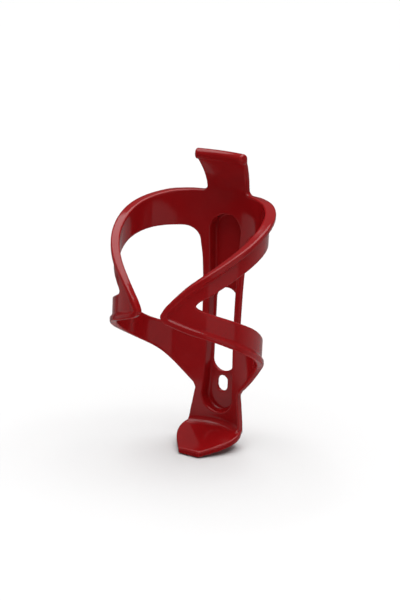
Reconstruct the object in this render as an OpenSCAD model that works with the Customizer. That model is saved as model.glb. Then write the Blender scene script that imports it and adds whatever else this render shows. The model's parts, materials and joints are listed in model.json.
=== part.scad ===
// Water bottle cage, moulded in one piece in red plastic.
// Origin: middle of the mounting face, halfway between the two bolt slots.
// +Z is up along the bottle, -Y is the open front, +Y points at the bicycle's tube.

/* [Bottle] */
// Radius of the bottle, which is the inner radius of the arms
bottle_r = 37; // [36.5:0.1:37.5]
// Distance from the bottle's axis to the mounting face
axis_to_mount = 44; // [43.5:0.5:45]

/* [Wall and rim] */
// Wall thickness of the arms and the back
wall = 2.8; // [2.4:0.1:3]
// Depth of the rim along the hoop's top edge, wall included
hoop_rim = 5.7; // [5:0.1:6.2]
// Depth of the rim along the lower arm's bottom edge, wall included
low_rim = 4; // [3.6:0.1:4.5]
// Height of the rims
rim_h = 2.6; // [2:0.1:3.2]
// Depth of the heel ribs behind the spine's lower edges, wall included
rib_depth = 5; // [4:0.1:5.5]
// Width of those ribs
rib_w = 2; // [1.6:0.1:2.4]

/* [Hoop and arms] */
// Height of the hoop's rim at the back
hoop_top = 77; // [76:0.5:78]
// Angle from the spine at which an upper arm starts
upper_root = 36; // [34:1:38]
// Angle from the spine at which a lower arm starts
lower_root = 30; // [29:1:31]
// Angle of the notch where the two arms of one side part
notch_angle = 145; // [144:0.5:146]
// Angle of the tip of a front bend
tip_angle = 171; // [170:0.5:171.5]

/* [Bolts] */
// Distance between the two bolt slots
bolt_spacing = 64; // [63:0.5:65]
// Width of a bolt slot, for an M5 bolt
slot_w = 6.2; // [5.4:0.1:6.4]
// Length of a bolt slot from end to end
slot_len = 9; // [8:0.5:10]

/* [Channel] */
// Depth of the channel behind the bottle
channel_depth = 5; // [4.5:0.1:5.2]
// Half the width of the channel at its narrow middle
channel_half_mid = 7.8; // [7.4:0.1:8]
// Half the width of the channel at its two round ends
channel_half_end = 9.3; // [9:0.1:9.6]
// Height of the channel's top end
channel_top = 65; // [63:0.5:66]
// Height of the channel's bottom end
channel_bottom = -47.5; // [-49:0.5:-46]
// Thickness of the channel's side wall
channel_wall = 1.5; // [1.3:0.1:1.8]
// Width of the window in the channel's floor
window_w = 13.4; // [11:0.2:13.6]
// Height of the window
window_len = 48; // [44:1:50]

/* [Tab and foot] */
// Height of the tab above the hoop
tab_h = 22.5; // [20:0.5:23]
// How far the tab's top leans in over the bottle
tab_lean = 9.5; // [7:0.5:10]
// Half the width of the tab where it leaves the hoop
tab_half_base = 11.6; // [11:0.1:12.5]
// Half the width of the tab at its lip
tab_half_top = 14.3; // [13.5:0.1:15]
// Radius of the rolled lip on the tab
lip_r = 2.9; // [2.4:0.1:3]
// Height of the foot's upper face where it meets the spine
foot_z = -54; // [-56:0.5:-52]
// Reach of the foot from the spine to its front edge
foot_reach = 30; // [28:0.5:31]
// How far the foot's front edge drops below its root
foot_drop = 6.5; // [5:0.5:7.5]
// Thickness of the foot
foot_t = 3.6; // [3:0.1:4]

/* [Hidden] */
$fn = 96;
red = "#a01218";

// Edge curves of one side: [angle from the spine, height].
upper_top = [[30, hoop_top], [50, 75.9], [80, 70.8], [110, 61.2], [130, 53.2], [150, 43.8],
    [160, 37.4], [166, 32.8], [172, 28.2]];
upper_bottom = [[30, 57], [60, 56.6], [85, 53.5], [110, 47.1], [135, 38.1], [142, 35.3]];
lower_top = [[28, -1], [60, 5.6], [90, 16.7], [115, 24.2], [135, 29.2], [142, 31.2]];
lower_bottom = [[24, -31.5], [50, -14.5], [75, -4.5], [100, 4.4], [130, 14.1], [150, 18.8],
    [166, 22.8], [172, 24.4]];
// Half width of the spine's front face: [height, half width].
spine_edge = [[-70, 17], [-54, 16.1], [-38, 13.9], [-30, 12.6], [-12, 11.5], [2, 11.3],
    [18, 11.5], [32, 12], [42, 12.8], [52, 14.5]];
heel_top = -33;    // height at which the heel ribs run out under the lower arms
blend = 3;         // height of the slope from a rim down to the wall
soft = 0.6;        // rounding of the long edges
overlap = 1;       // how far a cutting body runs past what it cuts
step = 3;          // angle between two sections of an arm
window_z = -1;     // height of the window's middle

// Smooth curve through points [u, v], read at u.
function slope(p, i) = let (a = max(i - 1, 0), b = min(i + 1, len(p) - 1))
    (p[b][1] - p[a][1]) / (p[b][0] - p[a][0]);
function span(p, u, i = 0) = i >= len(p) - 2 || u < p[i + 1][0] ? i : span(p, u, i + 1);
function curve(p, u) = let (i = span(p, u), h = p[i + 1][0] - p[i][0], t = (u - p[i][0]) / h,
    m0 = slope(p, i) * h, m1 = slope(p, i + 1) * h)
    p[i][1] * (2 * t ^ 3 - 3 * t ^ 2 + 1) + m0 * (t ^ 3 - 2 * t ^ 2 + t)
    + p[i + 1][1] * (3 * t ^ 2 - 2 * t ^ 3) + m1 * (t ^ 3 - t ^ 2);

// Two edges that close on each other in a round end between the angles a0 and a1.
function closing(top, bottom, a0, a1, a, side) = let (t = curve(top, a), b = curve(bottom, a),
    u = min(max((a - a0) / (a1 - a0), 0), 1))
    (t + b) / 2 + side * (t - b) / 2 * sqrt(1 - u * u);
function notch_side(a, side) = closing(upper_bottom, lower_top, notch_angle - 3, notch_angle, a, side);
function tip_side(a, side) = closing(upper_top, lower_bottom, tip_angle - 5, tip_angle, a, side);

// Depth of the rims, which thins towards the front tip.
function top_rim(a) = curve([[20, hoop_rim], [75, hoop_rim], [120, hoop_rim - 1], [tip_angle, low_rim]], a);

// Sections of the arms as [radius, height], walked round with the outside on the left hand.
function upper_section(a) = let (r = bottle_r, o = r + wall, f = r + top_rim(a),
    t = tip_side(a, 1), b = notch_side(a, 1))
    [[r, b], [o, b], [o, t - rim_h - blend], [o + (f - o) * 0.3, t - rim_h - blend * 0.35],
     [f - soft, t - rim_h], [f, t - rim_h + soft], [f, t - soft], [f - soft, t], [r + soft, t],
     [r, t - soft]];
function lower_section(a) = let (r = bottle_r, o = r + wall, f = r + low_rim,
    t = notch_side(a, -1), b = tip_side(a, -1))
    [[r, b + soft], [r + soft, b], [f - soft, b], [f, b + soft], [f, b + rim_h - soft],
     [f - soft, b + rim_h], [o, b + rim_h + blend], [o, t], [r, t]];
function bend_section(a) = let (r = bottle_r, f = r + top_rim(a), g = r + low_rim,
    t = tip_side(a, 1), b = tip_side(a, -1), h = t - b, k = min(1, h / (2 * (rim_h + blend) + 1)),
    near = min(1, max(0, (a - notch_angle) / (tip_angle - 6 - notch_angle))),
    o = r + wall + (low_rim - wall) * near ^ 3, e = soft * k)
    [[r, b + e], [r + e, b], [g - e, b], [g, b + e], [g, b + (rim_h - soft) * k],
     [g - e, b + rim_h * k], [o, b + (rim_h + blend) * k], [o, t - (rim_h + blend) * k],
     [o + (f - o) * 0.3, t - (rim_h + blend * 0.35) * k], [f - e, t - rim_h * k],
     [f, t - (rim_h - soft) * k], [f, t - e], [f - e, t], [r + e, t], [r, t - e]];

// A section placed at its angle round the bottle's axis, on the right-hand side.
function placed(s, a) = [for (p = s) [p[0] * sin(a), p[0] * cos(a), p[1]]];

// Solid skin over a row of rings that all have the same number of points.
module loft(rings) {
    n = len(rings[0]);
    m = len(rings);
    polyhedron(
        points = [for (ring = rings) each ring],
        faces = concat(
            [[for (i = [0 : n - 1]) i]],
            [[for (i = [n - 1 : -1 : 0]) (m - 1) * n + i]],
            [for (j = [0 : m - 2], i = [0 : n - 1])
                [j * n + i, (j + 1) * n + i, (j + 1) * n + (i + 1) % n]],
            [for (j = [0 : m - 2], i = [0 : n - 1])
                [j * n + i, (j + 1) * n + (i + 1) % n, j * n + (i + 1) % n]]),
        convexity = 8);
}

// Angles from a0 to a1, closer together towards a1, where the edges turn quickest.
function stations(a0, a1) = let (n = ceil((a1 - a0) / step))
    concat([for (i = [0 : n - 2]) a0 + (a1 - a0) * i / n],
        [for (share = [0.7, 0.4, 0.15, 0]) a1 - step * share]);

// Everything is drawn round the bottle's axis and then moved to the mounting frame.
module on_axis() { translate([0, -axis_to_mount, 0]) children(); }
module both(left) { if (left) mirror([1, 0, 0]) children(); else children(); }

module upper_arm(left) {
    color(red) on_axis() both(left)
        loft([for (a = stations(upper_root, notch_angle)) placed(upper_section(a), a)]);
}

module lower_arm(left) {
    color(red) on_axis() both(left)
        loft([for (a = stations(lower_root, notch_angle)) placed(lower_section(a), a)]);
}

module front_bend(left) {
    last = tip_angle - 0.4;
    color(red) on_axis() both(left)
        loft([for (a = stations(notch_angle, last)) placed(bend_section(a), a)]);
}

// Tube wall from radius r0 to r1 between two heights.
module tube(r0, r1, z0, z1) {
    translate([0, 0, z0]) difference() {
        cylinder(r = r1, h = z1 - z0);
        translate([0, 0, -overlap]) cylinder(r = r0, h = z1 - z0 + 2 * overlap);
    }
}

// Flat outline [x, z] swept along Y through the back half of the cage.
module through_back(outline, y0 = 0, y1 = 60) {
    translate([0, y1, 0]) rotate([90, 0, 0]) linear_extrude(y1 - y0) polygon(outline);
}

// Wedge round the bottle's axis, within angle a of the spine on both sides.
module wedge(a, z0, z1) {
    translate([0, 0, z0]) linear_extrude(z1 - z0)
        polygon([[0, 0], [-90 * sin(a), 90 * cos(a)], [90 * sin(a), 90 * cos(a)]]);
}

// Right edge of the spine, from the foot to the hoop, with round corners where the arms leave it.
function spine_side(z) = curve(spine_edge, z);
function mirrored(pts) = [for (i = [len(pts) - 1 : -1 : 0]) [-pts[i][0], pts[i][1]]];
upper_corner = 9;   // radius of the corner between the spine and an upper arm
lower_corner = 6;   // radius of the corner between the spine and a lower arm
side_x = 23;        // reach of the back's outline past both arm roots
crotch_z = 57;      // height of the upper arm's lower edge at its root
saddle_z = -0.9;    // height of the lower arm's upper edge at its root
function corner(cx, cz, r, a0, a1) = [for (i = [0 : 6]) let (a = a0 + (a1 - a0) * i / 6)
    [cx + r * cos(a), cz + r * sin(a)]];
back_right = concat(
    [for (z = [foot_z - 4 : 4 : -34]) [spine_side(z), z]],
    [for (a = [22 : 2 : 38]) [bottle_r * sin(a), curve(lower_bottom, a)]],
    [for (a = [38 : -2 : 30]) [bottle_r * sin(a), curve(lower_top, a)]],
    corner(spine_side(8) + lower_corner, saddle_z + lower_corner, lower_corner, 270, 180),
    [for (z = [saddle_z + lower_corner + 3 : 5 : crotch_z - upper_corner - 3]) [spine_side(z), z]],
    corner(spine_side(48) + upper_corner, crotch_z - upper_corner, upper_corner, 180, 90),
    [[side_x, crotch_z]], [[side_x, hoop_top]]);

// Outline of the channel as a pan with round ends, waisted like the spine; g grows it.
function pan_half(z, g) = let (mid = (channel_top + channel_bottom) / 2,
    u = (z - mid) / (channel_top - mid - channel_half_end))
    g + channel_half_mid + (channel_half_end - channel_half_mid) * min(1, u * u);
function pan_right(g) = concat(
    corner(0, channel_bottom + channel_half_end, channel_half_end + g, 270, 360),
    [for (i = [1 : 9]) let (z = channel_bottom + channel_half_end
        + (channel_top - channel_bottom - 2 * channel_half_end) * i / 10) [pan_half(z, g), z]],
    corner(0, channel_top - channel_half_end, channel_half_end + g, 0, 90));
function pan(g) = let (p = pan_right(g)) concat(p, [for (i = [len(p) - 2 : -1 : 1]) [-p[i][0], p[i][1]]]);

module back_panel() {
    low = foot_z - 1;
    color(red) on_axis() difference() {
        union() {
            intersection() {
                tube(bottle_r, bottle_r + wall, low, hoop_top - rim_h);
                through_back(concat(back_right, mirrored(back_right)), 1);
                union() {
                    wedge(lower_root, low, 20);
                    wedge(upper_root, 20, hoop_top);
                }
            }
            intersection() {
                tube(bottle_r, bottle_r + hoop_rim, hoop_top - rim_h, hoop_top);
                wedge(upper_root, hoop_top - rim_h, hoop_top);
            }
        }
        through_back(pan(channel_wall), 1);
    }
}

// Rib that stands back from one side edge of the spine, from the lower arm down to the foot.
module heel_rib(left) {
    low = foot_z - 1;
    zs = [for (i = [0 : 6]) low + (heel_top - low) * i / 6];
    color(red) on_axis() both(left) intersection() {
        tube(bottle_r + wall, bottle_r + rib_depth, low, heel_top);
        through_back(concat([for (z = zs) [spine_side(z), z]],
            [for (i = [len(zs) - 1 : -1 : 0]) [spine_side(zs[i]) - rib_w, zs[i]]]), 1);
    }
}

// Stadium-shaped hole through the floor, upright, centred at height z.
module slot_hole(w, len, z) {
    for (s = [-1, 1]) translate([0, axis_to_mount + overlap, z + s * (len - w) / 2])
        rotate([90, 0, 0]) cylinder(d = w, h = axis_to_mount - bottle_r);
    translate([-w / 2, bottle_r + overlap, z - (len - w) / 2])
        cube([w, axis_to_mount - bottle_r, len - w]);
}

// Channel: a sunk pan behind the spine, made of a wall ring and a floor plate.
module channel_wall_ring() {
    color(red) on_axis() difference() {
        through_back(pan(channel_wall), bottle_r - 5, axis_to_mount);
        translate([0, 0, channel_bottom - 10])
            cylinder(r = bottle_r, h = channel_top - channel_bottom + 20);
        through_back(pan(0), bottle_r - 6, axis_to_mount + overlap);
    }
}

module channel_floor() {
    color(red) on_axis() difference() {
        through_back(pan(0), bottle_r + channel_depth, axis_to_mount);
        slot_hole(slot_w, slot_len, bolt_spacing / 2);
        slot_hole(slot_w, slot_len, -bolt_spacing / 2);
        slot_hole(window_w, window_len, window_z);
    }
}

// Tab: the wall carries on above the hoop, widens and leans in over the bottle.
tab_t = wall + 0.6;  // thickness of the tab
tab_unbow = 14;      // how much wider the tab's bow gets towards its top
lip_shift = 0.9;     // how far the lip's middle lies behind the tab's front face
function tab_half(t) = tab_half_base + (tab_half_top - tab_half_base) * t ^ 1.6;
function tab_in(t) = tab_lean * t ^ 1.8;
function tab_ring(t) = let (n = 10, z = hoop_top + (tab_h - lip_r) * t, w = tab_half(t), y0 = tab_in(t),
    bow = bottle_r + tab_unbow * t,
    front = [for (i = [0 : n]) let (x = 2 * w * i / n - w)
        [x, sqrt(bow ^ 2 - x ^ 2) - (bow - bottle_r) - y0, z]])
    concat(front, [for (i = [n : -1 : 0]) [front[i][0], front[i][1] + tab_t, z]]);

module top_tab() {
    color(red) on_axis() loft([for (i = [0 : 10]) tab_ring(i / 10)]);
}

// Rolled lip that sits along the tab's top edge, bowed like the tab and flat underneath.
module tab_lip() {
    bow = bottle_r + tab_unbow;
    color(red) on_axis() translate([0, bottle_r - bow - tab_lean, hoop_top + tab_h - lip_r])
        intersection() {
            rotate_extrude() intersection() {
                translate([bow + lip_shift, lip_r * 0.4]) circle(r = lip_r);
                translate([bow - 10, 0]) square([20, 10]);
            }
            translate([-tab_half_top, 0, 0]) cube([2 * tab_half_top, 90, 10]);
        }
}

// Foot: a flat shelf under the bottle that narrows to a short front edge.
// Its half width from the front edge back to the spine: [distance behind the front edge, half width].
foot_edge = [[0, 6.2], [5, 10.1], [9.2, 13.1], [13.4, 15.5], [17.5, 17.1], [22, 17.9],
    [26, 17.6], [30, 16.2]];
module foot_shelf() {
    drop = atan(foot_drop / foot_reach);
    right = [for (u = [foot_reach : -1.5 : 0]) [curve(foot_edge, u), u - foot_reach]];
    whole = concat([[16, rib_depth + 1]], right, mirrored(right), [[-16, rib_depth + 1]]);
    color(red) on_axis() difference() {
        intersection() {
            translate([0, bottle_r, foot_z]) rotate([drop, 0, 0]) translate([0, 0, -foot_t])
                linear_extrude(foot_t) polygon(whole);
            translate([0, 0, foot_z - 20]) cylinder(r = bottle_r + rib_depth, h = 40);
        }
        translate([0, 0, foot_z - 1]) tube(bottle_r, bottle_r + rib_depth + overlap, 0, 20);
    }
}

back_panel();
heel_rib(true);  // left_heel_rib
heel_rib(false);  // right_heel_rib
channel_wall_ring();
channel_floor();
top_tab();
tab_lip();
upper_arm(true);  // left_upper_arm
upper_arm(false);  // right_upper_arm
front_bend(true);  // left_front_bend
front_bend(false);  // right_front_bend
lower_arm(true);  // left_lower_arm
lower_arm(false);  // right_lower_arm
foot_shelf();
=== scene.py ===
"""Water bottle cage: one glossy red plastic moulding on a plain pale floor.

The whole cage is one injection moulding, so it is shown as one closed skin. The skin is
the zero level of a distance field: a wall that lies on the bottle's cylinder, cut to its
unrolled outline and thickened into a rim along its outer edge, joined with the sunk
channel, the tab's bead and the foot. Lengths in the field are millimetres, with x and y
measured from the bottle's axis, and they turn into metres of the row frame when the mesh
is made.
"""

import json
import math

import bpy
import numpy as np
from mathutils import Matrix, Vector


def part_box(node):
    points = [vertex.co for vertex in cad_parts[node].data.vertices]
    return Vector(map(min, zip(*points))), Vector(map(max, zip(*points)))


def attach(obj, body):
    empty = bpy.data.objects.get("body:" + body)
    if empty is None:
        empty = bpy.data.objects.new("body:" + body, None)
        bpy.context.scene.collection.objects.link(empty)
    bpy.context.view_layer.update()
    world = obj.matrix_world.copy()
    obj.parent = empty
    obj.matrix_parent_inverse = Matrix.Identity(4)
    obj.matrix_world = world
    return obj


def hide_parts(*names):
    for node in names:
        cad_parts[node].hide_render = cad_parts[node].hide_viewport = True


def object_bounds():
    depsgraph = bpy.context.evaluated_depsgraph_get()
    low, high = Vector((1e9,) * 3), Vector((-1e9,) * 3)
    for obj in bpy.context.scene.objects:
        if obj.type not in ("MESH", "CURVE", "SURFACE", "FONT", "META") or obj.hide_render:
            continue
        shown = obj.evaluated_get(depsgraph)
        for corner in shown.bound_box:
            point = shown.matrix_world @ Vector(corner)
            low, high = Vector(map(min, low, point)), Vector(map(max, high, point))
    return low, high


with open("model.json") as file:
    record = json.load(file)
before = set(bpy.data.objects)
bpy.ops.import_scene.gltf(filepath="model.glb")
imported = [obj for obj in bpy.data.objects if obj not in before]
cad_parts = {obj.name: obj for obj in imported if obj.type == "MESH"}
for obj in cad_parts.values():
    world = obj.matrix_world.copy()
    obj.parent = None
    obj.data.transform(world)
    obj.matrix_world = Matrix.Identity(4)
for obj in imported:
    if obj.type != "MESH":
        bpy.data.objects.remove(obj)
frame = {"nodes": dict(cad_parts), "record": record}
cad_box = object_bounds()

# ---------------------------------------------------------------- sizes from the frame
MM = 0.001
mounts = {m["name"]: m for m in frame["record"]["mounts"]}
bolt = mounts["bolt_slots"]["dims"]
AXIS_Y = mounts["bottle_grip"]["pos_m"][1] / MM
BOTTLE_R = mounts["bottle_grip"]["dims"]["r_mm"]
MOUNT_Y = -AXIS_Y
BOLT_SPACING = bolt["spacing_y_mm"]
SLOT_HALF = bolt["hole_r_mm"]
SLOT_LEN = bolt["slot_length_mm"]


def top_of(node):
    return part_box(node)[1].z / MM


def bottom_of(node):
    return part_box(node)[0].z / MM


HOOP_TOP = top_of("back_panel")
TAB_TOP = top_of("top_tab")
LIP_TOP = top_of("tab_lip")
CHANNEL_WALL = 1.5
CHANNEL_TOP = top_of("channel_wall_ring") - CHANNEL_WALL
CHANNEL_BOTTOM = bottom_of("channel_wall_ring") + CHANNEL_WALL
FOOT_LOWEST = bottom_of("foot_shelf")

# ---------------------------------------------------------------- sizes of the moulding
# Wall, and the rim that stands out from it, away from the bottle, along the outer edge.
WALL = 2.8
TAB_WALL = 3.3
HOOP_RIM = 5.7
LOW_RIM = 4.0
HEEL_RIM = 5.0
RIM_HEIGHT = 2.6
RIM_BLEND = 1.8
RIM_BLEND_POWER = 1.6
TAB_EDGE = TAB_WALL + 0.3
EDGE_R = 1.0
# Half the height of the band between the arms in which the hoop's rim turns into the lower one.
RIM_CHANGE = 3
# Heights on the way down where the heel starts, its sides have become straight and its rim is full.
HEEL_START, HEEL_STRAIGHT, HEEL_FULL = -30, -38, -40
# Front bends and the openings between the arms: where they end, and over how many degrees they close.
TIP_ANGLE = 171.0
TIP_CLOSE = 5
NOTCH_ANGLE = 145.0
NOTCH_CLOSE = 3
# Corners of the side opening beside the spine (height, radius), and where the tab meets the hoop.
CROTCH_Z, CROTCH_R = 57.0, 9.0
SADDLE_Z, SADDLE_R = -0.9, 6.0
TAB_CORNER_R = 2.2
# Sunk channel, its window and its bolt slots.
CHANNEL_DEPTH = 5.0
CHANNEL_HALF_MID = 7.8
CHANNEL_HALF_END = 9.3
CHANNEL_BACK_R = 1.3
CHANNEL_FLOOR_FILLET = 0.9
CHANNEL_BACK_FILLET = 1.0
CHANNEL_MOUTH_R = 0.7
OUTSIDE_DRAFT = 0.06
HOLLOW_DRAFT = 0.1
WINDOW_HALF = 6.7
WINDOW_LEN = 48.0
WINDOW_Z = -1.0
WINDOW_EDGE_R = 0.45
SLOT_EDGE_R = 0.35
# Tab and the bead along its top.
TAB_LEAN = 9.5
TAB_LEAN_POWER = 1.8
TAB_UNBOW = 14.0
TAB_HALF_BASE = 11.6
TAB_HALF_TOP = 14.3
TAB_FLARE_POWER = 1.6
LIP_R = 2.9
LIP_SHIFT = 0.9
LIP_OVERHANG = 0.3
LIP_END_R = 1.3
LIP_FILLET = 0.5
# Foot shelf: the height where it meets the wall, its reach, its fall over that reach and its thickness.
FOOT_Z = -54.0
FOOT_REACH = 30.0
FOOT_DROP = 6.5
FOOT_T = 3.6
FOOT_FILLET = 3.2
# The channel, its holes and the heel's straight sides are only behind this y.
BEHIND = 20

# Edges of one side, unrolled: (angle from the spine, height).
UPPER_TOP = [(30, HOOP_TOP), (50, 75.9), (80, 70.8), (110, 61.2), (130, 53.2), (150, 43.8),
             (160, 37.4), (166, 32.8), (172, 28.2)]
UPPER_BOTTOM = [(30, 57), (60, 56.6), (85, 53.5), (110, 47.1), (135, 38.1), (142, 35.3)]
LOWER_TOP = [(28, -1), (60, 5.6), (90, 16.7), (115, 24.2), (135, 29.2), (142, 31.2)]
LOWER_BOTTOM = [(24, -31.5), (50, -14.5), (75, -4.5), (100, 4.4), (130, 14.1), (150, 18.8),
                (166, 22.8), (172, 24.4)]
# Half width of the spine: (height, half width).
SPINE_EDGE = [(-70, 17), (-54, 16.1), (-38, 13.9), (-30, 12.6), (-12, 11.5), (2, 11.3), (18, 11.5),
              (32, 12), (42, 12.8), (52, 14.5)]
# Half width of the foot: (distance from its front edge, half width).
FOOT_EDGE = [(0, 6.2), (5, 10.1), (9.2, 13.1), (13.4, 15.5), (17.5, 17.1), (22, 17.9), (26, 17.6),
             (30, 16.2)]
# Depth of the hoop's rim: (angle from the spine, depth).
HOOP_RIM_DEPTH = [(0, TAB_WALL), (20, 4.4), (34, HOOP_RIM), (75, HOOP_RIM), (120, HOOP_RIM - 1),
                  (TIP_ANGLE, LOW_RIM)]
# The line halfway between the two arms: (angle from the spine, height).
BETWEEN_ARMS = [(0, 28), (60, 31), (90, 35), (142, 33.2), (165, 28.5), (180, 28.5)]
# Upright holes through the channel's floor: (half width, length, height of the middle, edge rounding).
HOLES = [(SLOT_HALF, SLOT_LEN, -BOLT_SPACING / 2, SLOT_EDGE_R),
         (SLOT_HALF, SLOT_LEN, BOLT_SPACING / 2, SLOT_EDGE_R),
         (WINDOW_HALF, WINDOW_LEN, WINDOW_Z, WINDOW_EDGE_R)]

CELL = 0.66
# How far from the bottle's surface the skin is looked for: inwards, outwards and at the sides.
SEEK_IN, SEEK_OUT, SEEK_SIDE = 3, 9, 7


# ---------------------------------------------------------------- curves and distances
def curve(points, u):
    """Smooth curve through points (u, v), read at u."""
    p = np.array(points, float)
    before = np.maximum(np.arange(len(p)) - 1, 0)
    after = np.minimum(np.arange(len(p)) + 1, len(p) - 1)
    slope = (p[after, 1] - p[before, 1]) / (p[after, 0] - p[before, 0])
    i = np.clip(np.searchsorted(p[:, 0], u, side="right") - 1, 0, len(p) - 2)
    h = p[i + 1, 0] - p[i, 0]
    t = (u - p[i, 0]) / h
    return (p[i, 1] * (2 * t**3 - 3 * t**2 + 1) + slope[i] * h * (t**3 - 2 * t**2 + t)
            + p[i + 1, 1] * (3 * t**2 - 2 * t**3) + slope[i + 1] * h * (t**3 - t**2))


def step(low, high, v):
    """0 below low, 1 above high, and smooth in between."""
    t = np.clip((v - low) / (high - low), 0, 1)
    return t * t * (3 - 2 * t)


def both(a, b, r):
    """Where both fields are inside, with the edge between them rounded to radius r."""
    return np.minimum(np.maximum(a, b) + r, 0) + np.hypot(np.maximum(a + r, 0), np.maximum(b + r, 0)) - r


def either(a, b, r):
    """Where either field is inside, with the corner between them filled to radius r."""
    return np.maximum(r, np.minimum(a, b)) - np.hypot(np.maximum(r - a, 0), np.maximum(r - b, 0))


def stadium(x, z, half, length, middle):
    """Distance to an upright slot with round ends."""
    return np.hypot(x, np.maximum(np.abs(z - middle) - (length / 2 - half), 0)) - half


def arc(cx, cy, r, start, end, count=12):
    """Points on an arc, angles in degrees."""
    a = np.radians(np.linspace(start, end, count))
    return np.stack([cx + r * np.cos(a), cy + r * np.sin(a)], 1)


class Outline:
    """Signed distance to a closed outline that is the same on both sides of u = 0, negative inside. It
    is given by its right half if it crosses u = 0, or by its right loop if it doesn't. It is worked out
    once on a grid and read by interpolation."""

    PITCH = 0.3
    MARGIN = 8.0

    def __init__(self, right, crossing=True):
        loop = np.concatenate([right, right[::-1] * (-1, 1)]) if crossing else right
        low, high = right.min(0) - self.MARGIN, right.max(0) + self.MARGIN
        self.low = np.array([-1.0, low[1]])
        count = np.ceil((high - self.low) / self.PITCH).astype(int) + 1
        u = self.low[0] + self.PITCH * np.arange(count[0])
        v = self.low[1] + self.PITCH * np.arange(count[1])
        u, v = np.meshgrid(u, v, indexing="ij")
        nearest = np.full(u.shape, 1e9)
        inside = np.zeros(u.shape, bool)
        for (ax, ay), (bx, by) in zip(loop, np.roll(loop, -1, 0)):
            ex, ey = bx - ax, by - ay
            length2 = ex * ex + ey * ey
            if length2 < 1e-12:
                continue
            t = np.clip(((u - ax) * ex + (v - ay) * ey) / length2, 0, 1)
            nearest = np.minimum(nearest, (u - ax - t * ex) ** 2 + (v - ay - t * ey) ** 2)
            if ay != by:
                crosses = (ay > v) != (by > v)
                inside ^= crosses & (u < ax + (v - ay) * ex / ey)
        self.values = np.where(inside, -1, 1) * np.sqrt(nearest)

    def __call__(self, u, v):
        top = np.array(self.values.shape) - 1.001
        i = np.clip((np.abs(u) - self.low[0]) / self.PITCH, 0, top[0])
        j = np.clip((v - self.low[1]) / self.PITCH, 0, top[1])
        i0, j0 = i.astype(int), j.astype(int)
        fi, fj = i - i0, j - j0
        g = self.values
        return ((g[i0, j0] * (1 - fi) + g[i0 + 1, j0] * fi) * (1 - fj)
                + (g[i0, j0 + 1] * (1 - fi) + g[i0 + 1, j0 + 1] * fi) * fj)


# ---------------------------------------------------------------- outlines
def unrolled(angle):
    """Length along the bottle's surface for an angle from the spine in degrees."""
    return BOTTLE_R * np.radians(angle)


def wrapped(x):
    """Length along the bottle's surface for a distance from the mirror plane."""
    return BOTTLE_R * np.arcsin(x / BOTTLE_R)


def edge_run(points, angles):
    """Stretch of an arm's edge, unrolled, at the given angles."""
    return np.stack([unrolled(angles), curve(points, angles)], 1)


def spine_run(z0, z1):
    """Stretch of the spine's side edge, unrolled, about a millimetre between points."""
    z = np.linspace(z0, z1, max(2, int(abs(z1 - z0))))
    return np.stack([wrapped(curve(SPINE_EDGE, z)), z], 1)


def round_end(top, bottom, start, end):
    """Round end between two edges that close on each other, from the top edge to the bottom one."""
    turn = np.radians(np.linspace(90, -90, 25))
    angle = start + (end - start) * np.cos(turn)
    t, b = curve(top, angle), curve(bottom, angle)
    return np.stack([unrolled(angle), (t + b) / 2 + (t - b) / 2 * np.sin(turn)], 1)


def cage_outline():
    """Outer edge of the right half: tab, hoop, front tip, lower arm and spine."""
    z = np.linspace(TAB_TOP + 1, HOOP_TOP + TAB_CORNER_R, 24)
    rise = (z - HOOP_TOP) / (TAB_TOP - HOOP_TOP)
    bow = BOTTLE_R + TAB_UNBOW * rise
    half = TAB_HALF_BASE + (TAB_HALF_TOP - TAB_HALF_BASE) * rise**TAB_FLARE_POWER
    tab = np.stack([bow * np.arcsin(half / bow), z], 1)
    corner = arc(tab[-1, 0] + TAB_CORNER_R, HOOP_TOP + TAB_CORNER_R, TAB_CORNER_R, 180, 270)
    last = TIP_ANGLE - TIP_CLOSE
    spine_low = FOOT_Z - FOOT_T / 2
    return np.concatenate([
        [(0, tab[0, 1])], tab, corner, edge_run(UPPER_TOP, np.arange(30, last)),
        round_end(UPPER_TOP, LOWER_BOTTOM, last, TIP_ANGLE),
        edge_run(LOWER_BOTTOM, np.arange(last - 1, 22, -1)),
        spine_run(-35, spine_low), [(0, spine_low)]])


def side_opening():
    """Edge of the open side between the two arms and the spine."""
    upper_low, lower_high, gap = CROTCH_Z - CROTCH_R, SADDLE_Z + SADDLE_R, 2
    # The lower corner starts from the spine's half width at this height.
    lower_from = 8.0
    upper = arc(curve(SPINE_EDGE, upper_low) + CROTCH_R, upper_low, CROTCH_R, 90, 180)
    lower = arc(curve(SPINE_EDGE, lower_from) + SADDLE_R, lower_high, SADDLE_R, 180, 270)
    upper[:, 0], lower[:, 0] = wrapped(upper[:, 0]), wrapped(lower[:, 0])
    last = NOTCH_ANGLE - NOTCH_CLOSE
    return np.concatenate([
        edge_run(UPPER_BOTTOM, np.arange(last, 38, -2)), upper,
        spine_run(upper_low - gap, lower_high + gap), lower,
        edge_run(LOWER_TOP, np.arange(31, last, 2)),
        round_end(UPPER_BOTTOM, LOWER_TOP, last, NOTCH_ANGLE)[::-1]])


def pan_outline():
    """Waisted outline of the channel with round ends, in (x, z)."""
    mid = (CHANNEL_TOP + CHANNEL_BOTTOM) / 2
    reach = CHANNEL_TOP - mid - CHANNEL_HALF_END
    z = np.linspace(mid - reach, mid + reach, 40)[1:-1]
    half = CHANNEL_HALF_MID + (CHANNEL_HALF_END - CHANNEL_HALF_MID) * ((z - mid) / reach) ** 2
    return np.concatenate([
        arc(0, mid - reach, CHANNEL_HALF_END, 270, 360, 20), np.stack([half, z], 1),
        arc(0, mid + reach, CHANNEL_HALF_END, 0, 90, 20)])


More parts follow.
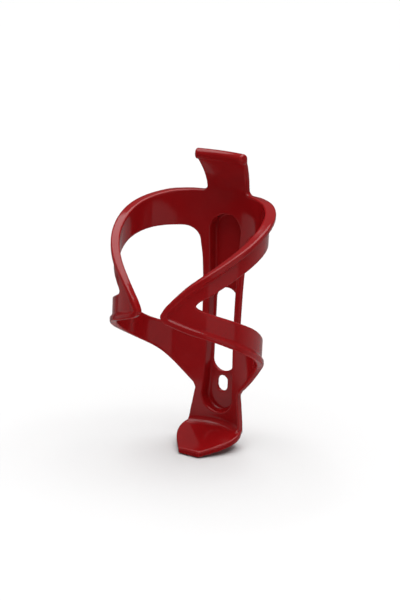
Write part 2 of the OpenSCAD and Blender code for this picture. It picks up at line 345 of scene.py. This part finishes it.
def foot_outline():
    """Outline of the foot in (x, y), from its front edge to a line behind the spine's wall."""
    u = np.linspace(0, FOOT_REACH, 30)
    side = np.stack([curve(FOOT_EDGE, u), BOTTLE_R - FOOT_REACH + u], 1)
    back, back_half = BOTTLE_R + 6, 16
    return np.concatenate([[(0, side[0, 1])], side, [(back_half, back), (0, back)]])


# ---------------------------------------------------------------- the distance field
class Cage:
    """Signed distance to the cage's skin, negative inside the plastic."""

    def __init__(self):
        self.outer = Outline(cage_outline())
        self.opening = Outline(side_opening(), crossing=False)
        self.pan = Outline(pan_outline())
        self.foot_edge = Outline(foot_outline())

    def on_wall(self, x, y, z):
        """Length along the wall and radius at a point, with the tab's lean taken out. At the heel the
        length depends on x alone, which cuts the heel's sides straight back through the wall."""
        rise = np.clip((z - HOOP_TOP) / (TAB_TOP - HOOP_TOP), 0, 1.1)
        bow = BOTTLE_R + TAB_UNBOW * rise
        back = y + TAB_LEAN * rise**TAB_LEAN_POWER + bow - BOTTLE_R
        along = bow * np.abs(np.arctan2(x, back))
        straight = wrapped(np.minimum(np.abs(x), BOTTLE_R * 0.6))
        at_heel = step(-HEEL_START, -HEEL_STRAIGHT, -z)
        along = np.where(y > BEHIND, along + (straight - along) * at_heel, along)
        return along, np.hypot(x, back) - (bow - BOTTLE_R)

    def rim_depth(self, along, z):
        """Thickness of the wall and rim together at the outer edge."""
        angle = np.degrees(along / BOTTLE_R)
        depth = curve(HOOP_RIM_DEPTH, np.clip(angle, 0, TIP_ANGLE))
        low = step(-RIM_CHANGE, RIM_CHANGE, curve(BETWEEN_ARMS, np.clip(angle, 0, 180)) - z)
        depth = depth + (LOW_RIM - depth) * low
        depth = depth + (HEEL_RIM - depth) * step(-HEEL_START, -HEEL_FULL, -z)
        return depth + (TAB_EDGE - depth) * step(HOOP_TOP - 1, HOOP_TOP + 5, z)

    def wall(self, x, y, z):
        """Tab, spine, hoop and arms, with the rim along their outer edge."""
        along, radius = self.on_wall(x, y, z)
        from_edge = -self.outer(along, z)
        beside = np.maximum(-from_edge, -self.opening(along, z))
        fillet = 1 - np.clip((from_edge - RIM_HEIGHT) / RIM_BLEND, 0, 1)
        plain = WALL + (TAB_WALL - WALL) * step(HOOP_TOP - 2, HOOP_TOP + 6, z)
        thick = plain + (self.rim_depth(along, z) - plain) * fillet**RIM_BLEND_POWER
        through = np.maximum(BOTTLE_R - radius, radius - BOTTLE_R - thick)
        return both(beside, through, EDGE_R)

    def channel(self, x, y, z):
        """The channel's outside, which starts inside the spine's wall, and its hollow."""
        pan = self.pan(x, z)
        deep = y - BOTTLE_R
        into_wall = 1.2
        outside = both(pan - CHANNEL_WALL + OUTSIDE_DRAFT * deep, y - MOUNT_Y, CHANNEL_BACK_R)
        outside = np.maximum(outside, BOTTLE_R + into_wall - np.hypot(x, y))
        hollow = both(pan + HOLLOW_DRAFT * deep, deep - CHANNEL_DEPTH, CHANNEL_FLOOR_FILLET)
        return np.maximum(outside, BEHIND - y), np.maximum(hollow, BEHIND - y)

    def foot(self, x, y, z):
        """The sloping shelf, and the fillet between it and the wall."""
        top = FOOT_Z - FOOT_DROP * (BOTTLE_R - y) / FOOT_REACH
        square = math.cos(math.atan(FOOT_DROP / FOOT_REACH))
        above, radius = (z - top) * square, np.hypot(x, y)
        slab = both(self.foot_edge(x, y), np.maximum(above, -above - FOOT_T * square), EDGE_R)
        slab = both(slab, radius - BOTTLE_R - HEEL_RIM, EDGE_R)
        along, _ = self.on_wall(x, y, z)
        edge = np.maximum(self.foot_edge(x, y), self.outer(along, z))
        corner = both(edge, either(BOTTLE_R - radius, above, FOOT_FILLET), EDGE_R)
        # The fillet goes no further than 1 mm into the wall, 1 mm below the shelf's top and 4 mm above.
        near_corner = np.maximum(radius - BOTTLE_R - 1, np.abs(above - 1.5) - 2.5)
        return np.minimum(slab, np.maximum(corner, near_corner))

    def lip(self, x, y, z):
        """The bead along the tab's top edge."""
        bow = BOTTLE_R + TAB_UNBOW
        back = y + TAB_LEAN + TAB_UNBOW
        across = np.hypot(x, back) - (bow + LIP_SHIFT)
        along = bow * np.abs(np.arctan2(x, back))
        bead = np.hypot(across, z - (LIP_TOP - LIP_R)) - LIP_R
        return both(bead, along - TAB_HALF_TOP - LIP_OVERHANG, LIP_END_R)

    def __call__(self, p):
        """The distance at points p, an array of (x, y, z)."""
        x, y, z = p.T
        outside, hollow = self.channel(x, y, z)
        body = either(self.wall(x, y, z), outside, CHANNEL_BACK_FILLET)
        body = both(body, -hollow, CHANNEL_MOUTH_R)
        for half, length, middle, edge_r in HOLES:
            hole = np.maximum(stadium(x, z, half, length, middle), BEHIND - y)
            body = both(body, -hole, edge_r)
        body = np.minimum(body, self.foot(x, y, z))
        return either(body, self.lip(x, y, z), LIP_FILLET)

    def slope(self, p, h=0.12):
        """Gradient of the field at points p."""
        columns = []
        for axis in np.eye(3) * h:
            columns.append((self(p + axis) - self(p - axis)) / (2 * h))
        return np.stack(columns, 1)


# ---------------------------------------------------------------- skin of the field
def sampled(field, low, cell, count):
    """The field on a grid, worked out only where the cage can be: close to the bottle's surface, over
    the foot, and behind the bottle at the tab. Elsewhere it says that the point is far outside."""
    far_outside = 9.0
    values = np.full(count, far_outside, np.float32)
    x = low[0] + cell * np.arange(count[0])
    y = low[1] + cell * np.arange(count[1])
    gx, gy = np.meshgrid(x, y, indexing="ij")
    radius = np.hypot(gx, gy)
    for k in range(count[2]):
        z = low[2] + cell * k
        near = (radius > BOTTLE_R - SEEK_IN) & (radius < BOTTLE_R + SEEK_OUT)
        if z < FOOT_Z + 6:
            near |= gy > 0
        if z > HOOP_TOP - 2:
            near |= gy > 15
        layer = values[:, :, k]
        layer[near] = field(np.stack([gx[near], gy[near], np.full(near.sum(), z)], 1))
    return values


def skin(field, low, high, cell):
    """Closed quad mesh on the zero level: one vertex in each cell that the level passes through, at the
    mean of the places where it crosses the cell's edges, and one quad round each crossed edge."""
    count = np.ceil((high - low) / cell).astype(int) + 1
    values = sampled(field, low, cell, count)
    inside = values < 0
    corners = [(a, b, c) for a in (0, 1) for b in (0, 1) for c in (0, 1)]
    views = [inside[a:count[0] - 1 + a, b:count[1] - 1 + b, c:count[2] - 1 + c] for a, b, c in corners]
    cells = np.logical_or.reduce(views) & ~np.logical_and.reduce(views)
    ids = np.full(count - 1, -1, np.int64)
    ids[cells] = np.arange(cells.sum())
    total, hits, quads = np.zeros((cells.sum(), 3)), np.zeros(cells.sum()), []
    for axis in range(3):
        a = [slice(1, -1)] * 3
        b = [slice(1, -1)] * 3
        a[axis], b[axis] = slice(0, -1), slice(1, None)
        crossing = np.argwhere(inside[tuple(a)] != inside[tuple(b)])
        others = [o for o in range(3) if o != axis]
        crossing[:, others] += 1
        ahead = crossing.copy()
        ahead[:, axis] += 1
        v0, v1 = values[tuple(crossing.T)], values[tuple(ahead.T)]
        point = crossing.astype(float)
        point[:, axis] += v0 / (v0 - v1)
        ring = []
        for da, db in ((0, 0), (1, 0), (1, 1), (0, 1)):
            cell_at = crossing.copy()
            cell_at[:, others[0]] -= da
            cell_at[:, others[1]] -= db
            ring.append(ids[tuple(cell_at.T)])
            for c in range(3):
                total[:, c] += np.bincount(ring[-1], point[:, c], len(total))
            hits += np.bincount(ring[-1], minlength=len(total))
        ring = np.stack(ring, 1)
        flip = (v0 > 0) ^ (axis == 1)
        ring[flip] = ring[flip][:, ::-1]
        quads.append(ring)
    return low + cell * total / hits[:, None], np.concatenate(quads)


def pull_onto(field, p, rounds=4, most=0.3):
    """Moves points onto the field's zero level, by at most a set distance along the slope each round."""
    for _ in range(rounds):
        g = field.slope(p)
        steepness = np.maximum((g**2).sum(1), 0.3)
        move = field(p) / steepness
        p = p - g * np.clip(move, -most, most)[:, None]
    return p


def convexity(points, normals, quads):
    """How sharply the skin bends outwards at each point: the mean over its edges, in 1/mm."""
    edges = np.concatenate([quads[:, [0, 1]], quads[:, [1, 2]], quads[:, [2, 3]], quads[:, [3, 0]]])
    along = points[edges[:, 1]] - points[edges[:, 0]]
    bend = ((normals[edges[:, 1]] - normals[edges[:, 0]]) * along).sum(1) / (along**2).sum(1)
    count = np.bincount(edges.ravel(), minlength=len(points))
    return sum(np.bincount(edges[:, i], bend, len(points)) for i in (0, 1)) / count


def cage_mesh(cell):
    """The cage's skin in metres of the row frame, with its smooth normals. Its attribute crest is about
    0.5 on an edge of radius EDGE_R, 0 on a flat and below 0 in a hollow."""
    field = Cage()
    side = BOTTLE_R + SEEK_SIDE
    low = np.array([-side, -side, FOOT_LOWEST - 2])
    high = np.array([side, BOTTLE_R + SEEK_OUT, LIP_TOP + 2])
    points, quads = skin(field, low, high, cell)
    points = pull_onto(field, points)
    normals = field.slope(points, 0.2)
    normals /= np.linalg.norm(normals, axis=1)[:, None]
    mesh = bpy.data.meshes.new("cage_moulding")
    mesh.from_pydata(((points + (0, AXIS_Y, 0)) * MM).tolist(), [], quads.tolist())
    mesh.shade_smooth()
    mesh.normals_split_custom_set_from_vertices(normals.tolist())
    crest = mesh.attributes.new("crest", "FLOAT", "POINT")
    curved = convexity(points, normals, quads) * EDGE_R
    crest.data.foreach_set("value", np.clip(curved, -1, 1).astype(np.float32))
    return mesh


# ---------------------------------------------------------------- shader nodes
def node(tree, kind, **values):
    """A shader node with the given input values, by socket name, and settings in small letters."""
    made = tree.nodes.new(kind)
    for name, value in values.items():
        if name.islower():
            setattr(made, name, value)
        else:
            made.inputs[name.replace("_", " ")].default_value = value
    return made


def noise(tree, place, scale, detail, roughness=0.5):
    """Noise from 0 to 1, with about scale grains to the metre."""
    made = node(tree, "ShaderNodeTexNoise", Scale=scale, Detail=detail, Roughness=roughness)
    tree.links.new(place, made.inputs["Vector"])
    return made.outputs["Fac"]


def ramp(tree, source, low, high, to_low=0.0, to_high=1.0):
    """The source's range from low to high, stretched smoothly over another range."""
    made = node(tree, "ShaderNodeMapRange", interpolation_type="SMOOTHSTEP")
    for name, value in (("From Min", low), ("From Max", high), ("To Min", to_low), ("To Max", to_high)):
        made.inputs[name].default_value = value
    tree.links.new(source, made.inputs["Value"])
    return made.outputs["Result"]


def math_node(tree, operation, a, b):
    """Two numbers or outputs put together by an operation."""
    made = node(tree, "ShaderNodeMath", operation=operation)
    for socket, value in zip(made.inputs, (a, b)):
        if isinstance(value, (int, float)):
            socket.default_value = value
        else:
            tree.links.new(value, socket)
    return made.outputs[0]


def times(tree, a, b):
    return math_node(tree, "MULTIPLY", a, b)


def plus(tree, start, *terms):
    """Start with each (source, weight) added to it."""
    total = start
    for source, weight in terms:
        total = math_node(tree, "ADD", total, times(tree, source, weight))
    return total


def blend(tree, amount, a, b):
    """Colour b laid over colour a by amount."""
    made = node(tree, "ShaderNodeMix", data_type="RGBA")
    tree.links.new(amount, made.inputs["Factor"])
    for socket, value in ((made.inputs[6], a), (made.inputs[7], b)):
        if isinstance(value, tuple):
            socket.default_value = value
        else:
            tree.links.new(value, socket)
    return made.outputs[2]


# ---------------------------------------------------------------- materials
PIGMENT_DARK = (0.24, 0.0042, 0.0054, 1)
PIGMENT_LIGHT = (0.272, 0.0054, 0.0068, 1)
GRAIN_COLOUR = (0.215, 0.0034, 0.0046, 1)
RUBBED_COLOUR = (0.43, 0.026, 0.026, 1)
SCUFF_COLOUR = (0.52, 0.05, 0.05, 1)
FLOOR_COLOUR = (0.7, 0.7, 0.7, 1)


def scuffs(tree, place):
    """A few hairline scuffs, in patches."""
    stretched = node(tree, "ShaderNodeMapping", Scale=(1.0, 1.0, 9.0), Rotation=(0.5, 0.2, 0.7))
    tree.links.new(place, stretched.inputs["Vector"])
    line = noise(tree, stretched.outputs["Vector"], scale=210, detail=2, roughness=0.4)
    patch = ramp(tree, noise(tree, place, scale=45, detail=2), 0.6, 0.72)
    return times(tree, ramp(tree, line, 0.68, 0.73), patch)


def rubbed_edges(tree, place):
    """Rounded edges that hands and bottles have rubbed, with a ragged border."""
    crest = node(tree, "ShaderNodeAttribute", attribute_name="crest").outputs["Fac"]
    ragged = ramp(tree, noise(tree, place, scale=240, detail=5, roughness=0.7), 0.35, 0.7, 0.35, 1.0)
    return times(tree, ramp(tree, crest, 0.2, 0.55), ragged)


def red_plastic():
    """Glossy deep red moulded plastic: cloudy pigment, a fine uneven skin, handling smears, a few hairline
    scuffs, and edges rubbed a little paler and duller."""
    m = bpy.data.materials.new("red_plastic")
    m.use_nodes = True
    tree = m.node_tree
    shader = tree.nodes["Principled BSDF"]
    shader.inputs["IOR"].default_value = 1.5
    shader.inputs["Specular IOR Level"].default_value = 0.3
    place = node(tree, "ShaderNodeTexCoord").outputs["Object"]
    cloud = ramp(tree, noise(tree, place, scale=28, detail=4, roughness=0.55), 0.3, 0.7)
    grain = noise(tree, place, scale=900, detail=3, roughness=0.6)
    smear = ramp(tree, noise(tree, place, scale=65, detail=6, roughness=0.65), 0.42, 0.72)
    swell = noise(tree, place, scale=130, detail=2)
    rubbed = rubbed_edges(tree, place)
    scuff = scuffs(tree, place)

    colour = blend(tree, cloud, PIGMENT_DARK, PIGMENT_LIGHT)
    colour = blend(tree, times(tree, ramp(tree, grain, 0.3, 0.7), 0.25), colour, GRAIN_COLOUR)
    colour = blend(tree, times(tree, rubbed, 0.22), colour, RUBBED_COLOUR)
    colour = blend(tree, times(tree, scuff, 0.12), colour, SCUFF_COLOUR)
    tree.links.new(colour, shader.inputs["Base Color"])

    rough = plus(tree, 0.085, (smear, 0.08), (grain, 0.04), (rubbed, 0.10), (scuff, 0.1))
    tree.links.new(rough, shader.inputs["Roughness"])

    # Heights in metres.
    height = plus(tree, 0.0, (swell, 0.000045), (grain, 0.000006), (scuff, -0.00001))
    bump = node(tree, "ShaderNodeBump", Strength=0.8, Distance=1.0)
    tree.links.new(height, bump.inputs["Height"])
    tree.links.new(bump.outputs["Normal"], shader.inputs["Normal"])
    return m


def floor_paint():
    """Plain matt pale grey."""
    m = bpy.data.materials.new("pale_floor")
    m.use_nodes = True
    shader = m.node_tree.nodes["Principled BSDF"]
    shader.inputs["Base Color"].default_value = FLOOR_COLOUR
    shader.inputs["Roughness"].default_value = 0.9
    shader.inputs["Specular IOR Level"].default_value = 0.1
    return m


# ---------------------------------------------------------------- the object
cage = bpy.data.objects.new("cage_moulding", cage_mesh(CELL))
bpy.context.scene.collection.objects.link(cage)
cage.data.materials.append(red_plastic())
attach(cage, "root")
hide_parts(*frame["nodes"])

# ---------------------------------------------------------------- floor
FLOOR_SIZE = 30
FLOOR_GAP = 0.0005

lowest = cad_box[0].z
bpy.ops.mesh.primitive_plane_add(size=FLOOR_SIZE, location=(0, 0, lowest - FLOOR_GAP))
floor = bpy.context.object
floor.name = "floor"
floor.data.materials.append(floor_paint())
floor.visible_glossy = False

# ---------------------------------------------------------------- light
# A wide sun overhead: its strength, how wide it looks and how far it leans, in degrees.
SUN_STRENGTH, SUN_WIDTH, SUN_LEAN = 4.0, 76, 2
# Soft boxes level with the cage: (name, azimuth, size, power in watts).
BOXES = [("right_box", 79, (0.42, 0.36), 0.21), ("left_box", -80, (0.34, 0.36), 0.13)]
BOX_DISTANCE, BOX_Z = 0.5, -0.03
# A small card that shines up from the floor under the cage: its place round the axis, size and power.
CARD_AZIMUTH, CARD_DISTANCE, CARD_SIZE, CARD_WATTS = -29, 0.035, (0.07, 0.06), 0.008


def beside(azimuth, distance, height):
    """A place round the cage: azimuth from the open front towards the right, in degrees."""
    a = math.radians(azimuth)
    return Vector((math.sin(a) * distance, -math.cos(a) * distance, height)) + Vector((0, AXIS_Y * MM, 0))


def area_light(name, place, target, size, watts):
    """A lamp with a rectangular face that points at the target and isn't seen by the camera."""
    data = bpy.data.lights.new(name, "AREA")
    data.shape = "RECTANGLE"
    data.size, data.size_y = size
    data.energy = watts
    lamp = bpy.data.objects.new(name, data)
    lamp.location = place
    lamp.rotation_mode = "QUATERNION"
    lamp.rotation_quaternion = (Vector(target) - Vector(place)).to_track_quat("-Z", "Y")
    lamp.visible_camera = False
    bpy.context.scene.collection.objects.link(lamp)


def overhead_light():
    data = bpy.data.lights.new("above", "SUN")
    data.energy, data.angle = SUN_STRENGTH, math.radians(SUN_WIDTH)
    lamp = bpy.data.objects.new("above", data)
    lamp.rotation_euler = (math.radians(SUN_LEAN), math.radians(SUN_LEAN), 0)
    bpy.context.scene.collection.objects.link(lamp)


def studio_world():
    """Surroundings that are dark in front, paler overhead and low behind. Seen straight past the floor's
    far edge, they are as pale as the floor."""
    world = bpy.data.worlds.new("studio")
    bpy.context.scene.world = world
    world.use_nodes = True
    tree = world.node_tree
    direction = node(tree, "ShaderNodeTexCoord").outputs["Generated"]
    split = node(tree, "ShaderNodeSeparateXYZ")
    tree.links.new(direction, split.inputs["Vector"])
    from_above = ramp(tree, split.outputs["Z"], 0.0, 0.9, 0.03, 0.24)
    from_behind = ramp(tree, split.outputs["Y"], 0.1, 0.9, 0.0, 0.32)
    low_behind = times(tree, from_behind, ramp(tree, split.outputs["Z"], -0.12, 0.02, 1.0, 0.1))
    lit = math_node(tree, "ADD", from_above, low_behind)
    seen = node(tree, "ShaderNodeLightPath").outputs["Is Camera Ray"]
    background = tree.nodes["Background"]
    tree.links.new(math_node(tree, "MAXIMUM", lit, seen), background.inputs["Strength"])
    background.inputs["Color"].default_value = (1, 1, 1, 1)


overhead_light()
for name, azimuth, size, watts in BOXES:
    area_light(name, beside(azimuth, BOX_DISTANCE, BOX_Z), beside(0, 0, BOX_Z), size, watts)
card_place = beside(CARD_AZIMUTH, CARD_DISTANCE, lowest)
area_light("front_card", card_place, card_place + Vector((0, 0, 1)), CARD_SIZE, CARD_WATTS)
studio_world()
bpy.context.scene.view_settings.view_transform = "Standard"

# ---------------------------------------------------------------- camera
# It stands in front on the right, a little above, and is turned a little about its own axis.
CAMERA_AZIMUTH, CAMERA_ELEVATION, CAMERA_ROLL = 29.06, 15.71, 2.66
CAMERA_PLACE = (0.3714, -0.7004, 0.2378)
CAMERA_LENS, CAMERA_SENSOR = 90, 36


def tilted_camera():
    azimuth, elevation = math.radians(CAMERA_AZIMUTH), math.radians(CAMERA_ELEVATION)
    roll = math.radians(CAMERA_ROLL)
    back = Vector((math.sin(azimuth) * math.cos(elevation), -math.cos(azimuth) * math.cos(elevation),
                   math.sin(elevation)))
    right = Vector((math.cos(azimuth), math.sin(azimuth), 0))
    up = back.cross(right)
    turned = right * math.cos(roll) + up * math.sin(roll)
    upright = up * math.cos(roll) - right * math.sin(roll)
    turn = Matrix((turned, upright, back)).transposed().to_4x4()
    data = bpy.data.cameras.new("camera")
    data.lens, data.sensor_width, data.sensor_fit = CAMERA_LENS, CAMERA_SENSOR, "AUTO"
    made = bpy.data.objects.new("camera", data)
    made.matrix_world = Matrix.Translation(Vector(CAMERA_PLACE)) @ turn
    bpy.context.scene.collection.objects.link(made)
    return made


bpy.context.scene.camera = tilted_camera()
